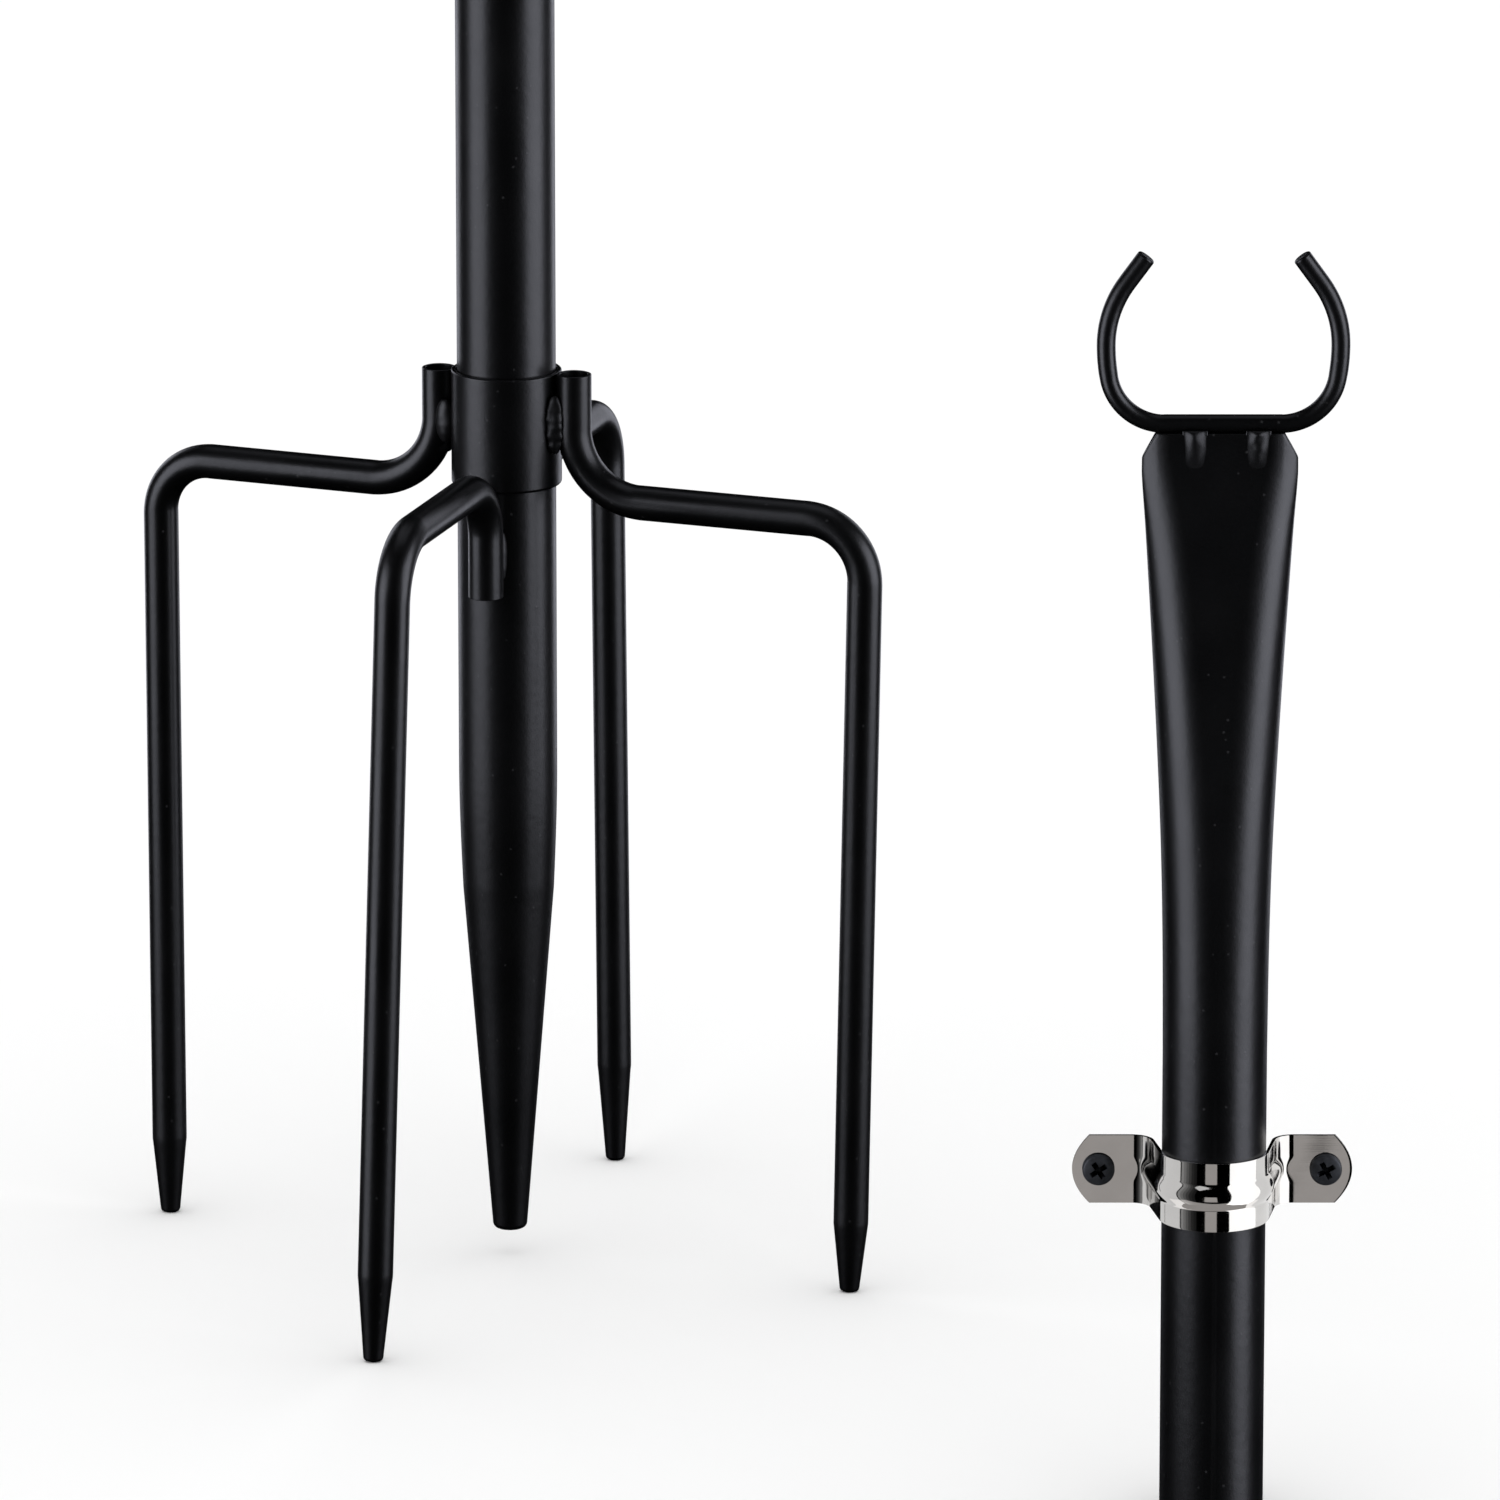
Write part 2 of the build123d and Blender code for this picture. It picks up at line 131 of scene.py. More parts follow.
def grain(tree, coordinates, scale, detail=2.0, stretch=(1, 1, 1)):
    """Noise of a scale in cells per metre, stretched along the axes."""
    mapping = tree.nodes.new("ShaderNodeMapping")
    mapping.inputs["Scale"].default_value = stretch
    tree.links.new(coordinates, mapping.inputs["Vector"])
    texture = tree.nodes.new("ShaderNodeTexNoise")
    texture.inputs["Scale"].default_value = scale
    texture.inputs["Detail"].default_value = detail
    tree.links.new(mapping.outputs["Vector"], texture.inputs["Vector"])
    return texture.outputs["Fac"]


def remap(tree, value, start, end, low, high):
    """A value that goes from low to high while the input goes from start to end."""
    node = tree.nodes.new("ShaderNodeMapRange")
    node.inputs["From Min"].default_value = start
    node.inputs["From Max"].default_value = end
    node.inputs["To Min"].default_value = low
    node.inputs["To Max"].default_value = high
    tree.links.new(value, node.inputs["Value"])
    return node.outputs["Result"]


def combine(tree, operation, first, second):
    """Result of a sum or product of a value and another value or a plain number."""
    node = tree.nodes.new("ShaderNodeMath")
    node.operation = operation
    tree.links.new(first, node.inputs[0])
    if isinstance(second, float):
        node.inputs[1].default_value = second
    else:
        tree.links.new(second, node.inputs[1])
    return node.outputs["Value"]


def bump(tree, principled, height, distance, strength=1.0):
    """Surface relief that follows a height, as deep as a distance in metres."""
    node = tree.nodes.new("ShaderNodeBump")
    node.inputs["Strength"].default_value = strength
    node.inputs["Distance"].default_value = distance
    tree.links.new(height, node.inputs["Height"])
    tree.links.new(node.outputs["Normal"], principled.inputs["Normal"])


def tint(tree, principled, value, dark, light):
    """Base colour that follows a value from dark to light."""
    ramp = tree.nodes.new("ShaderNodeValToRGB")
    ramp.color_ramp.elements[0].color = (*dark, 1)
    ramp.color_ramp.elements[1].color = (*light, 1)
    tree.links.new(value, ramp.inputs["Fac"])
    tree.links.new(ramp.outputs["Color"], principled.inputs["Base Color"])


def specks(tree, coordinates, scale, size):
    """1 in the middle of sparse round specks, 0 between them."""
    cells = tree.nodes.new("ShaderNodeTexVoronoi")
    cells.inputs["Scale"].default_value = scale
    tree.links.new(coordinates, cells.inputs["Vector"])
    return remap(tree, cells.outputs["Distance"], size, size * 0.4, 0.0, 1.0)


def powder_coat(name, roughness, peel):
    """Satin black powder coat: fine grain, slight orange peel, a few dust specks."""
    material, tree, principled, where = shader(name, (0.0007, 0.0007, 0.0008), roughness)
    fine = grain(tree, where, scale=2600.0, detail=3.0)
    wavy = grain(tree, where, scale=420.0, detail=2.0)
    cloud = grain(tree, where, scale=38.0, detail=3.0)
    dust = specks(tree, where, scale=260.0, size=0.11)
    worn = combine(tree, "ADD", combine(tree, "MULTIPLY", cloud, 0.08), dust)
    tint(tree, principled, worn, dark=(0.0003, 0.0003, 0.00033), light=(0.0110, 0.0110, 0.0118))
    uneven = combine(tree, "MULTIPLY", combine(tree, "ADD", fine, cloud), 0.5)
    gloss = remap(tree, uneven, 0.3, 0.7, roughness - 0.05, roughness + 0.06)
    tree.links.new(gloss, principled.inputs["Roughness"])
    height = combine(tree, "ADD", combine(tree, "MULTIPLY", wavy, peel), fine)
    height = combine(tree, "ADD", height, combine(tree, "MULTIPLY", dust, 0.8))
    bump(tree, principled, height, distance=0.000026, strength=0.65)
    return material


def polished_steel():
    """Mirror-polished stainless sheet: slightly wavy, with faint polishing lines and handling marks."""
    colour = (0.60, 0.585, 0.57)
    material, tree, principled, where = shader("polished_steel", colour, 0.06, metallic=1.0)
    lines = grain(tree, where, scale=900.0, detail=2.0, stretch=(0.06, 0.06, 4.0))
    smear = grain(tree, where, scale=160.0, detail=4.0)
    wave = grain(tree, where, scale=52.0, detail=0.0)
    tint(tree, principled, smear, dark=(0.55, 0.54, 0.53), light=(0.66, 0.65, 0.64))
    faint_lines = combine(tree, "MULTIPLY", lines, 0.4)
    marks = combine(tree, "ADD", faint_lines, combine(tree, "MULTIPLY", smear, 0.6))
    gloss = remap(tree, marks, 0.35, 0.7, 0.03, 0.11)
    tree.links.new(gloss, principled.inputs["Roughness"])
    height = combine(tree, "ADD", combine(tree, "MULTIPLY", lines, 0.012), wave)
    bump(tree, principled, height, distance=0.00050)
    return material


def black_screw():
    """Blackened screw steel, satin on the head, with painted shade that darkens the colour and dims the
    reflection down in the recess and the thread.
    """
    colour = (0.016, 0.018, 0.021)
    material, tree, principled, where = shader("black_screw", colour, 0.46, metallic=0.35)
    fine = grain(tree, where, scale=3000.0, detail=3.0)
    cloud = grain(tree, where, scale=500.0, detail=3.0)
    # painted shade: ambient occlusion darkens the colour in the recess and the thread
    recess_ao = tree.nodes.new("ShaderNodeAmbientOcclusion")
    recess_ao.inputs["Distance"].default_value = 0.002
    recess_ao.samples = 8
    recess_ao.only_local = True
    unshaded = remap(tree, recess_ao.outputs["AO"], 0.5, 0.92, 0.0, 1.0)
    shade = combine(tree, "MULTIPLY", unshaded, cloud)
    tint(tree, principled, shade, dark=(0.0006, 0.0006, 0.0007), light=(0.040, 0.044, 0.052))
    # painted shade: the reflection is dimmed where ambient occlusion finds the recess and the thread
    shaded_shine = remap(tree, unshaded, 0.0, 1.0, 0.03, 0.5)
    tree.links.new(shaded_shine, principled.inputs["Specular IOR Level"])
    gloss = remap(tree, fine, 0.3, 0.7, 0.38, 0.55)
    tree.links.new(gloss, principled.inputs["Roughness"])
    bump(tree, principled, fine, distance=0.00002, strength=0.5)
    return material


BLACK = powder_coat("black_powder_coat", roughness=0.34, peel=2.2)
WELD = powder_coat("coated_weld", roughness=0.43, peel=3.0)
STEEL = polished_steel()
SCREW = black_screw()


# ---- shape helpers ----
def polar(angle, radius, height):
    """Point at an angle in degrees and a radius about the vertical axis."""
    turn = math.radians(angle)
    return Vector((radius * math.cos(turn), radius * math.sin(turn), height))


def centre_line(points, radii, steps=20):
    """(point, direction, bend) along a polyline with arcs as corners; bend is 1 mid-arc, 0 on a run."""
    points = [Vector(p) for p in points]
    heading = (points[1] - points[0]).normalized()
    line = [(points[0], heading, 0.0)]
    for before, corner, after, radius in zip(points, points[1:], points[2:], radii):
        heading = (corner - before).normalized()
        leaving = (after - corner).normalized()
        turn = heading.angle(leaving)
        inward = (leaving - heading * heading.dot(leaving)).normalized()
        start = corner - heading * radius * math.tan(turn / 2)
        for k in range(steps + 1):
            angle = turn * k / steps
            point = start + (heading * math.sin(angle) + inward * (1 - math.cos(angle))) * radius
            direction = heading * math.cos(angle) + inward * math.sin(angle)
            line.append((point, direction, math.sin(math.pi * k / steps) ** 0.6))
    line.append((points[-1], (points[-1] - points[-2]).normalized(), 0.0))
    return line


def outline(points, radii, steps=5):
    """A closed flat outline with rounded corners, as a list of points."""
    count = len(points)
    rounded = []
    for k in range(count):
        before, corner, after = points[k - 1], points[k], points[(k + 1) % count]
        if radii[k]:
            middle_in = (Vector(before) + Vector(corner)) / 2
            middle_out = (Vector(corner) + Vector(after)) / 2
            arc = centre_line([middle_in, corner, middle_out], [radii[k]], steps)
            rounded.extend(point for point, _, _ in arc[1:-1])
        else:
            rounded.append(Vector(corner))
    return rounded


def skin(rings, loop=False):
    """Vertices and faces of a surface through rings of points; a ring of one point closes an end."""
    verts, faces, starts = [], [], []
    for ring in rings:
        starts.append(len(verts))
        verts.extend(ring)
    pairs = [(k, k + 1) for k in range(len(rings) - 1)]
    if loop:
        pairs.append((len(rings) - 1, 0))
    for a, b in pairs:
        n, m = len(rings[a]), len(rings[b])
        for k in range(max(n, m)):
            near, near_next = starts[a] + k % n, starts[a] + (k + 1) % n
            far, far_next = starts[b] + k % m, starts[b] + (k + 1) % m
            faces.append(list(dict.fromkeys((near, near_next, far_next, far))))
    return verts, faces


def lathe(profile, loop=True, around=ROUND):
    """Skin of a shape turned about the vertical axis, from (radius, height) pairs."""
    rings = []
    for radius, height in profile:
        if radius < 1e-6:
            rings.append([Vector((0, 0, height))])
        else:
            rings.append([polar(360 * k / around, radius, height) for k in range(around)])
    return skin(rings, loop)


def smooth(mesh):
    """Shades every face of a mesh as part of a curved surface."""
    for face in mesh.polygons:
        face.use_smooth = True


def new_mesh(name, verts, faces):
    """A smooth-shaded object from points in millimetres, its faces turned outwards."""
    mesh = bpy.data.meshes.new(name)
    mesh.from_pydata([Vector(v) * MM for v in verts], [], faces)
    work = bmesh.new()
    work.from_mesh(mesh)
    bmesh.ops.recalc_face_normals(work, faces=work.faces)
    work.to_mesh(mesh)
    work.free()
    smooth(mesh)
    thing = bpy.data.objects.new(name, mesh)
    bpy.context.scene.collection.objects.link(thing)
    return thing


def settle(thing):
    """Applies the modifiers, so that the mesh itself has its final shape."""
    bpy.context.view_layer.update()
    evaluated = thing.evaluated_get(bpy.context.evaluated_depsgraph_get())
    final = bpy.data.meshes.new_from_object(evaluated)
    thing.modifiers.clear()
    thing.data = final


def cut_away(thing, verts, faces):
    """Takes a closed shape away from a mesh."""
    cutter = new_mesh("cutter", verts, faces)
    cut = thing.modifiers.new("cut", "BOOLEAN")
    cut.operation = "DIFFERENCE"
    cut.solver = "EXACT"
    cut.object = cutter
    settle(thing)
    bpy.data.objects.remove(cutter)


def soften(thing, width, segments, angle):
    """Rounds the edges that are sharper than an angle in degrees."""
    edge = thing.modifiers.new("edge", "BEVEL")
    edge.width = width * MM
    edge.segments = segments
    edge.limit_method = "ANGLE"
    edge.angle_limit = math.radians(angle)
    settle(thing)
    smooth(thing.data)


def piece(thing, material, body, slot, *nodes):
    """Gives a mesh its material, its body and the CAD nodes it stands for; the slot argument is not used.
    """
    thing.data.materials.clear()
    thing.data.materials.append(material)
    weighted = thing.modifiers.new("even_normals", "WEIGHTED_NORMAL")
    weighted.keep_sharp = True
    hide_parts(*nodes)
    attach(thing, body)


# ---- spike tube, collar and base pole: turned shapes ----
SHOULDER_TOP_Z = 133.0  # where the spike tube starts to narrow
CONE_TOP_Z = 99.0
CONE_BORE_R = 10.5  # radius of the bore at the top of the cone
SHOULDER_DROP = 0.95  # how much the radius shrinks over the shoulder
TIP_R = 4.35
TIP_ROUND = 1.6
PLUG_Z = 24.0  # below this height the spike is closed
COLLAR_BORE_R = 13.0
HEAD_SHOULDER_Z = 350.0  # where the pole steps down to its upper spigot
STEP_HALF = 2.0  # half height of that step on the inside and outside of the tube
SPIGOT_LEAD = 1.5  # height of the taper that leads a spigot in


def spike_profile():
    """(radius, height) of the spike tube, from the bottom of its bore over the rim to its tip."""
    steps = 12
    cone = []
    for k in range(steps + 1):
        share = k / steps
        radius = POLE_R - SHOULDER_DROP * (1 - math.cos(share * math.pi / 2))
        cone.append((radius, SHOULDER_TOP_Z - (SHOULDER_TOP_Z - CONE_TOP_Z) * share))
    tip_z = spike_low.z
    tip_corners = [(cone[-1][0], 0, cone[-1][1]), (TIP_R, 0, tip_z), (0, 0, tip_z)]
    tip = centre_line(tip_corners, [TIP_ROUND], 8)
    rim_z = spike_high.z
    outer = [(POLE_R, rim_z - EDGE), (POLE_R, SHOULDER_TOP_Z + 1.0)] + cone
    outer += [(point.x, point.z) for point, _, _ in tip[1:]]
    inner = [(0, PLUG_Z), (TIP_R - 0.05, PLUG_Z), (CONE_BORE_R, CONE_TOP_Z), (BORE_R, SHOULDER_TOP_Z)]
    rim = [(BORE_R, rim_z - EDGE), (BORE_R + EDGE, rim_z), (POLE_R - EDGE, rim_z)]
    return inner + rim + outer


def turned(corners, rounding):
    """A ring-shaped skin whose section has rounded corners, from (radius, height) corners."""
    section = outline([(radius, 0, height) for radius, height in corners], rounding)
    return lathe([(point.x, point.z) for point in section])


piece(
    new_mesh("Spike_Tube", *lathe(spike_profile(), loop=False)),
    BLACK, "stake_base", "black_powder_coat", "spike_tube",
)

collar_corners = [
    (COLLAR_BORE_R, collar_low.z), (COLLAR_R, collar_low.z),
    (COLLAR_R, collar_high.z), (COLLAR_BORE_R, collar_high.z),
]
collar_rounding = [0.2, 0.9, 0.45, 0.35]
piece(
    new_mesh("Collar", *turned(collar_corners, collar_rounding)),
    BLACK, "stake_base", "black_powder_coat", "collar",
)

shoulder_z = spike_high.z + 0.05
pole_corners = [
    (SPIGOT_BORE_R, pole_low.z), (SPIGOT_R - SPIGOT_LEAD / 2, pole_low.z),
    (SPIGOT_R, pole_low.z + SPIGOT_LEAD), (SPIGOT_R, shoulder_z),
    (POLE_R, shoulder_z), (POLE_R, HEAD_SHOULDER_Z),
    (SPIGOT_R, HEAD_SHOULDER_Z + STEP_HALF), (SPIGOT_R, pole_high.z - SPIGOT_LEAD),
    (SPIGOT_R - SPIGOT_LEAD / 2, pole_high.z), (SPIGOT_BORE_R, pole_high.z),
    (SPIGOT_BORE_R, HEAD_SHOULDER_Z + STEP_HALF), (BORE_R, HEAD_SHOULDER_Z - STEP_HALF),
    (BORE_R, shoulder_z + 4.0), (SPIGOT_BORE_R, shoulder_z + 1.2),
]
pole_rounding = [0.2, 0.3, 0.6, 0.0, 0.35, 1.2, 0.5, 0.6, 0.3, 0.2, 1.0, 1.0, 1.0, 0.5]
piece(
    new_mesh("Base_Pole", *turned(pole_corners, pole_rounding)),
    BLACK, "pole_tube", "black_powder_coat", "base_pole",
)


# ---- prongs: bent thin tubes with an open stub and a tapered blunt tip ----
STUB_UP_R, STUB_DOWN_R = 18.75, 17.25  # distance of a stub from the axis, beside collar or tube
STUB_DEPTH = 22.0  # depth of the open stub's bore
TIP_LIFT = 0.1  # height of a prong's tip over the floor
TIP_END_R = 2.5
TIP_END_ROUND = 1.0
BEND_NARROW, BEND_WIDE = 0.045, 0.02  # how much a bend squeezes a tube across and along the bend's axis
# direction of the arm, height of the stub's open end, elbow radius, arm height, leg distance at the arm,
# knee radius, direction and distance of the tip, length of the tapered tip
PRONGS = {
    "left": (157.6, 235.2, 18.5, 204.3, 98.0, 14.5, 157.4, 97.6, 20.0),
    "right": (-21.6, 236.6, 18.5, 204.2, 99.0, 15.5, -21.7, 94.9, 18.0),
    "front": (-107.4, 180.0, 15.0, 210.6, 90.0, 15.5, -109.0, 102.0, 22.0),
    "back": (73.6, 180.0, 15.0, 207.2, 88.0, 17.0, 72.9, 90.4, 26.0),
}


def tube_ring(point, direction, side, radius, bend=0.0, around=56):
    """Ring across a tube; in a bend it is a little narrower in the bend's plane."""
    across = side.cross(direction).normalized()
    beside = direction.cross(across).normalized()
    ring = []
    for k in range(around):
        angle = 2 * math.pi * k / around
        narrow = across * math.cos(angle) * (1 - BEND_NARROW * bend)
        wide = beside * math.sin(angle) * (1 + BEND_WIDE * bend)
        ring.append(point + (narrow + wide) * radius)
    return ring


def prong_rings(arm_angle, stub_z, elbow_r, arm_z, leg_r, knee_r, tip_angle, tip_r, taper):
    """Rings of a prong, from the bottom of its stub's bore over the rim and along the tube to the tip."""
    stub_r = STUB_UP_R if stub_z > arm_z else STUB_DOWN_R
    tip = polar(tip_angle, tip_r, TIP_LIFT)
    knee = polar(arm_angle, leg_r, arm_z)
    corners = [polar(arm_angle, stub_r, stub_z), polar(arm_angle, stub_r, arm_z), knee, tip]
    line = centre_line(corners, [elbow_r, knee_r])
    side = polar(arm_angle + 90, 1, 0)
    start, down = line[0][0], line[0][1]
    leg = line[-1][1]

    rings = [[start + down * STUB_DEPTH]]
    bore = [(STUB_DEPTH, PRONG_BORE_R - 0.6), (STUB_DEPTH - 1, PRONG_BORE_R), (EDGE, PRONG_BORE_R)]
    for depth, radius in bore:
        rings.append(tube_ring(start + down * depth, down, side, radius))
    lip_steps = 5
    for k in range(1, lip_steps):
        angle = math.pi * k / lip_steps
        lip = (PRONG_R + PRONG_BORE_R) / 2 - math.cos(angle) * (PRONG_R - PRONG_BORE_R) / 2
        rings.append(tube_ring(start + down * (EDGE - math.sin(angle) * EDGE), down, side, lip))
    rings.append(tube_ring(start + down * EDGE, down, side, PRONG_R))

    for point, direction, bend in line[1:-1]:
        rings.append(tube_ring(point, direction, side, PRONG_R, bend))

    cone = [(taper + 1.2, PRONG_R), (taper, PRONG_R - 0.02), (taper - 1.2, PRONG_R - 0.16)]
    end_corners = [(TIP_END_R + 0.4, 0, 5.0), (TIP_END_R, 0, 0), (0, 0, 0)]
    blunt_end = centre_line(end_corners, [TIP_END_ROUND], 7)
    cone += [(point.z, point.x) for point, _, _ in blunt_end[1:-1]]
    for before_tip, radius in cone:
        rings.append(tube_ring(tip - leg * before_tip, leg, side, radius))
    rings.append([tip])
    return rings


for side_name, shape in PRONGS.items():
    piece(
        new_mesh(f"Prong_{side_name.title()}", *skin(prong_rings(*shape))),
        BLACK, "stake_base", "black_powder_coat", f"prong_{side_name}",
    )


# ---- prong welds: two rippled beads beside the line where stub and tube touch ----
RIPPLE = 2.4  # length of one ripple of a bead
BEAD_RISE, BEAD_SPREAD = 0.72, 1.12  # a bead is flatter than round
BEAD_OUT = 1.0  # distance of a bead's middle from the tube
BEAD_APART = 2.3  # half the distance between the beads, before their own radius counts
# radius of the tube, lowest and highest point, radius of the beads and how lumpy they are
WELDS = {
    "left": (COLLAR_R, 216.5, 228.0, 2.5, 0.35),
    "right": (COLLAR_R, 216.0, 231.5, 2.1, 1.2),
    "front": (POLE_R, 184.0, 196.5, 1.2, 0.5),
    "back": (POLE_R, 183.5, 197.5, 1.9, 0.6),
}


def bead_rings(foot, top, out, radius, seed, lumps, steps=60, around=36):
    """Rings of a weld bead from foot to top: half-buried, with run-on ripples and some lumps."""
    length = (top - foot).length
    beside = (top - foot).normalized().cross(out).normalized()
    rings = [[foot]]
    for k in range(1, steps):
        share = k / steps
        centre = foot.lerp(top, share)
        wave = 1 + 0.03 * lumps * math.sin(2 * math.pi * share * length / RIPPLE + seed)
        swell = radius * math.sin(math.pi * share) ** 0.42 * wave
        ring = []
        for j in range(around):
            angle = 2 * math.pi * j / around
            spoke = out * math.cos(angle) * BEAD_RISE + beside * math.sin(angle) * BEAD_SPREAD
            place = (centre + spoke * radius) * 0.42 + Vector((seed, 0, 0))
            lump = 1 + 0.2 * lumps * noise.noise(place)
            ring.append(centre + spoke * swell * lump)
        rings.append(ring)
    rings.append([top])
    return rings


def joined(*skins):
    """One list of vertices and one of faces from several skins."""
    verts, faces = [], []
    for part_verts, part_faces in skins:
        faces.extend([index + len(verts) for index in face] for face in part_faces)
        verts.extend(part_verts)
    return verts, faces


for number, (side_name, (tube_r, low, high, bead_r, lumps)) in enumerate(WELDS.items()):
    arm_angle = PRONGS[side_name][0]
    out, across = polar(arm_angle, 1, 0), polar(arm_angle + 90, 1, 0)
    beads = []
    for turn in (-1, 1):
        base = out * (tube_r + BEAD_OUT) + across * turn * (BEAD_APART + 0.95 * bead_r)
        foot, top = base + Vector((0, 0, low)), base + Vector((0, 0, high))
        outward = (across * turn + out * 0.3).normalized()
        beads.append(skin(bead_rings(foot, top, outward, bead_r, 3.1 * number + turn, lumps)))
    piece(
        new_mesh(f"Weld_{side_name.title()}", *joined(*beads)),
        WELD, "stake_base", "coated_weld", f"weld_{side_name}",
    )


# ---- top pole: round tube pressed to a thin lens-shaped end with two cut corners ----
# height, half width, half thickness, half width of the flat facet, fullness of the side curve
FLARE = [
    (118.0, 12.70, 12.70, 0.0, 0.552),
    (145.0, 12.95, 12.45, 0.3, 0.552),
    (168.0, 13.50, 12.00, 1.0, 0.55),
    (190.0, 14.45, 11.10, 2.2, 0.54),
    (216.0, 15.85, 9.60, 4.3, 0.52),
    (240.0, 17.30, 7.40, 6.7, 0.48),
    (255.0, 18.25, 5.10, 9.2, 0.42),
    (266.0, 18.80, 3.35, 11.6, 0.36),
    (272.2, 18.80, 3.00, 12.0, 0.33),
]
CUT_HALF = 15.2  # half width of the top edge between its cut corners
CUT_RISE = 6.2 / 3.6  # rise of a cut corner per millimetre of width
CUT_REACH_Z = 250.0  # rings above this height lean towards the cut corners
FLARE_LOW_Z = FLARE[0][0]


def flare_at(height):
    """Section values at a height, with a smooth course between the given heights."""
    if height <= FLARE_LOW_Z:
        return FLARE[0][1:]
    for k in range(len(FLARE) - 1):
        low, high = FLARE[k], FLARE[k + 1]
        if height <= high[0]:
            share = (height - low[0]) / (high[0] - low[0])
            before, after = FLARE[max(k - 1, 0)], FLARE[min(k + 2, len(FLARE) - 1)]
            span = high[0] - low[0]
            values = []
            for j in range(1, 5):
                slope_low = (high[j] - before[j]) / max(high[0] - before[0], 1e-6) * span
                slope_high = (after[j] - low[j]) / max(after[0] - low[0], 1e-6) * span
                square, cube = share * share, share ** 3
                values.append(
                    (2 * cube - 3 * square + 1) * low[j] + (cube - 2 * square + share) * slope_low
                    + (3 * square - 2 * cube) * high[j] + (cube - square) * slope_high
                )
            return values
    return FLARE[-1][1:]


def flare_section(height, inset, flat_steps=8, curve_steps=28):
    """Points round the tube at a height: flat facets front and back, Bezier curves at the sides."""
    half_width, half_thick, facet, full = flare_at(height)
    half_width, half_thick = half_width - inset, half_thick - inset
    facet = min(facet, half_width)
    quadrant = [(facet * k / flat_steps, half_thick) for k in range(flat_steps)]
    reach = half_width - facet
    for k in range(curve_steps + 1):
        t = k / curve_steps
        b0, b1, b2, b3 = (1 - t) ** 3, 3 * t * (1 - t) ** 2, 3 * t * t * (1 - t), t ** 3
        x = facet + reach * (b1 * full + b2 + b3)
        y = half_thick * (b0 + b1 + b2 * full)
        quadrant.append((x, y))
    right_front = [(x, -y) for x, y in reversed(quadrant[:-1])]
    left_front = [(-x, -y) for x, y in quadrant[1:]]
    left_back = [(-x, y) for x, y in reversed(quadrant[1:-1])]
    return quadrant + right_front + left_front + left_back


def flare_ring(height, inset, drop=0.0):
    """Section ring whose top is cut back at the corners; drop lowers the ring from the cut edge."""
    ring = []
    for x, y in flare_section(min(height, TOP_Z), inset):
        z = height
        if height > CUT_REACH_Z:
            cut = TOP_Z - max(0.0, abs(x) - CUT_HALF) * CUT_RISE
            z = CUT_REACH_Z + (height - CUT_REACH_Z) * (cut - CUT_REACH_Z) / (TOP_Z - CUT_REACH_Z)
        ring.append(TOP + Vector((x, y, z - drop)))
    return ring


def top_pole_rings():
    """Rings of the tube wall: up the outside, over the rim, down the inside and round the foot."""
    low_rows = [FLARE_LOW_Z + 2.0 * k for k in range(66)]
    high_rows = [CUT_REACH_Z + 1.0 + k for k in range(21)]
    heights = [60.0] + low_rows + high_rows
    rim = [(0, 0.35), (0.08, 0.1), (0.3, 0.0), (0.9, 0.0), (1.12, 0.1), (POLE_WALL, 0.35)]
    foot = [(EDGE, POLE_WALL), (0.06, 1.12), (0.0, 0.95), (0.0, 0.25), (0.06, 0.08)]
    rings = [flare_ring(EDGE, 0)]
    rings += [flare_ring(height, 0) for height in heights]
    rings += [flare_ring(TOP_Z, inset, drop) for inset, drop in rim]
    rings += [flare_ring(height, POLE_WALL) for height in reversed(heights)]
    rings += [flare_ring(height, inset) for height, inset in foot]
    return rings


piece(
    new_mesh("Top_Pole", *skin(top_pole_rings(), loop=True)),
    BLACK, "top_section", "black_powder_coat", "top_pole",
)

# ---- cradle: round wire bent to an open C ----
bar_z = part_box("cradle")[0].z / MM + WIRE_R
CRADLE_SHIFT = 0.6  # the wire sits a little to the right of the pole's axis
END_ROUND = 0.6
TIGHT_BEND_R = 20.0  # bends below this radius flatten the wire more
TIGHT_SQUEEZE, WIDE_SQUEEZE = 0.6, 0.18
# length of a straight run, or radius and turn in degrees of a bend, from the middle of the bar
CRADLE_RUNS = [
    (13.95, 0, 0),
    (0, 13.7, 80.0),
    (0, 47.0, 10.0),
    (0, 26.0, 36.0),
    (8.0 - END_ROUND, 0, 0),
]


def along(heading):
    """Unit vector in the cradle's plane, at an angle from the bar."""
    return Vector((math.cos(heading), 0, math.sin(heading)))


def cradle_half():
    """(point, direction, radius, bend) of the right half, from the middle of the bar to the wire's end."""
    heading, point = 0.0, Vector((0, 0, 0))
    line = [(point, along(heading), WIRE_R, 0.0)]
    for run, radius, turn in CRADLE_RUNS:
        if run:
            point = point + along(heading) * run
            line.append((point, along(heading), WIRE_R, 0.0))
            continue
        steps = max(6, int(turn / 2.5))
        step = math.radians(turn) / steps
        chord = 2 * radius * math.sin(step / 2)
        bend = TIGHT_SQUEEZE if radius < TIGHT_BEND_R else WIDE_SQUEEZE
        for _ in range(steps):
            point = point + along(heading + step / 2) * chord
            heading += step
            line.append((point, along(heading), WIRE_R, bend))
    cap_steps = 6
    for k in range(1, cap_steps + 1):
        angle = math.pi / 2 * k / cap_steps
        cap_point = point + along(heading) * END_ROUND * math.sin(angle)
        line.append((cap_point, along(heading), WIRE_R - END_ROUND * (1 - math.cos(angle)), 0.0))
    return line


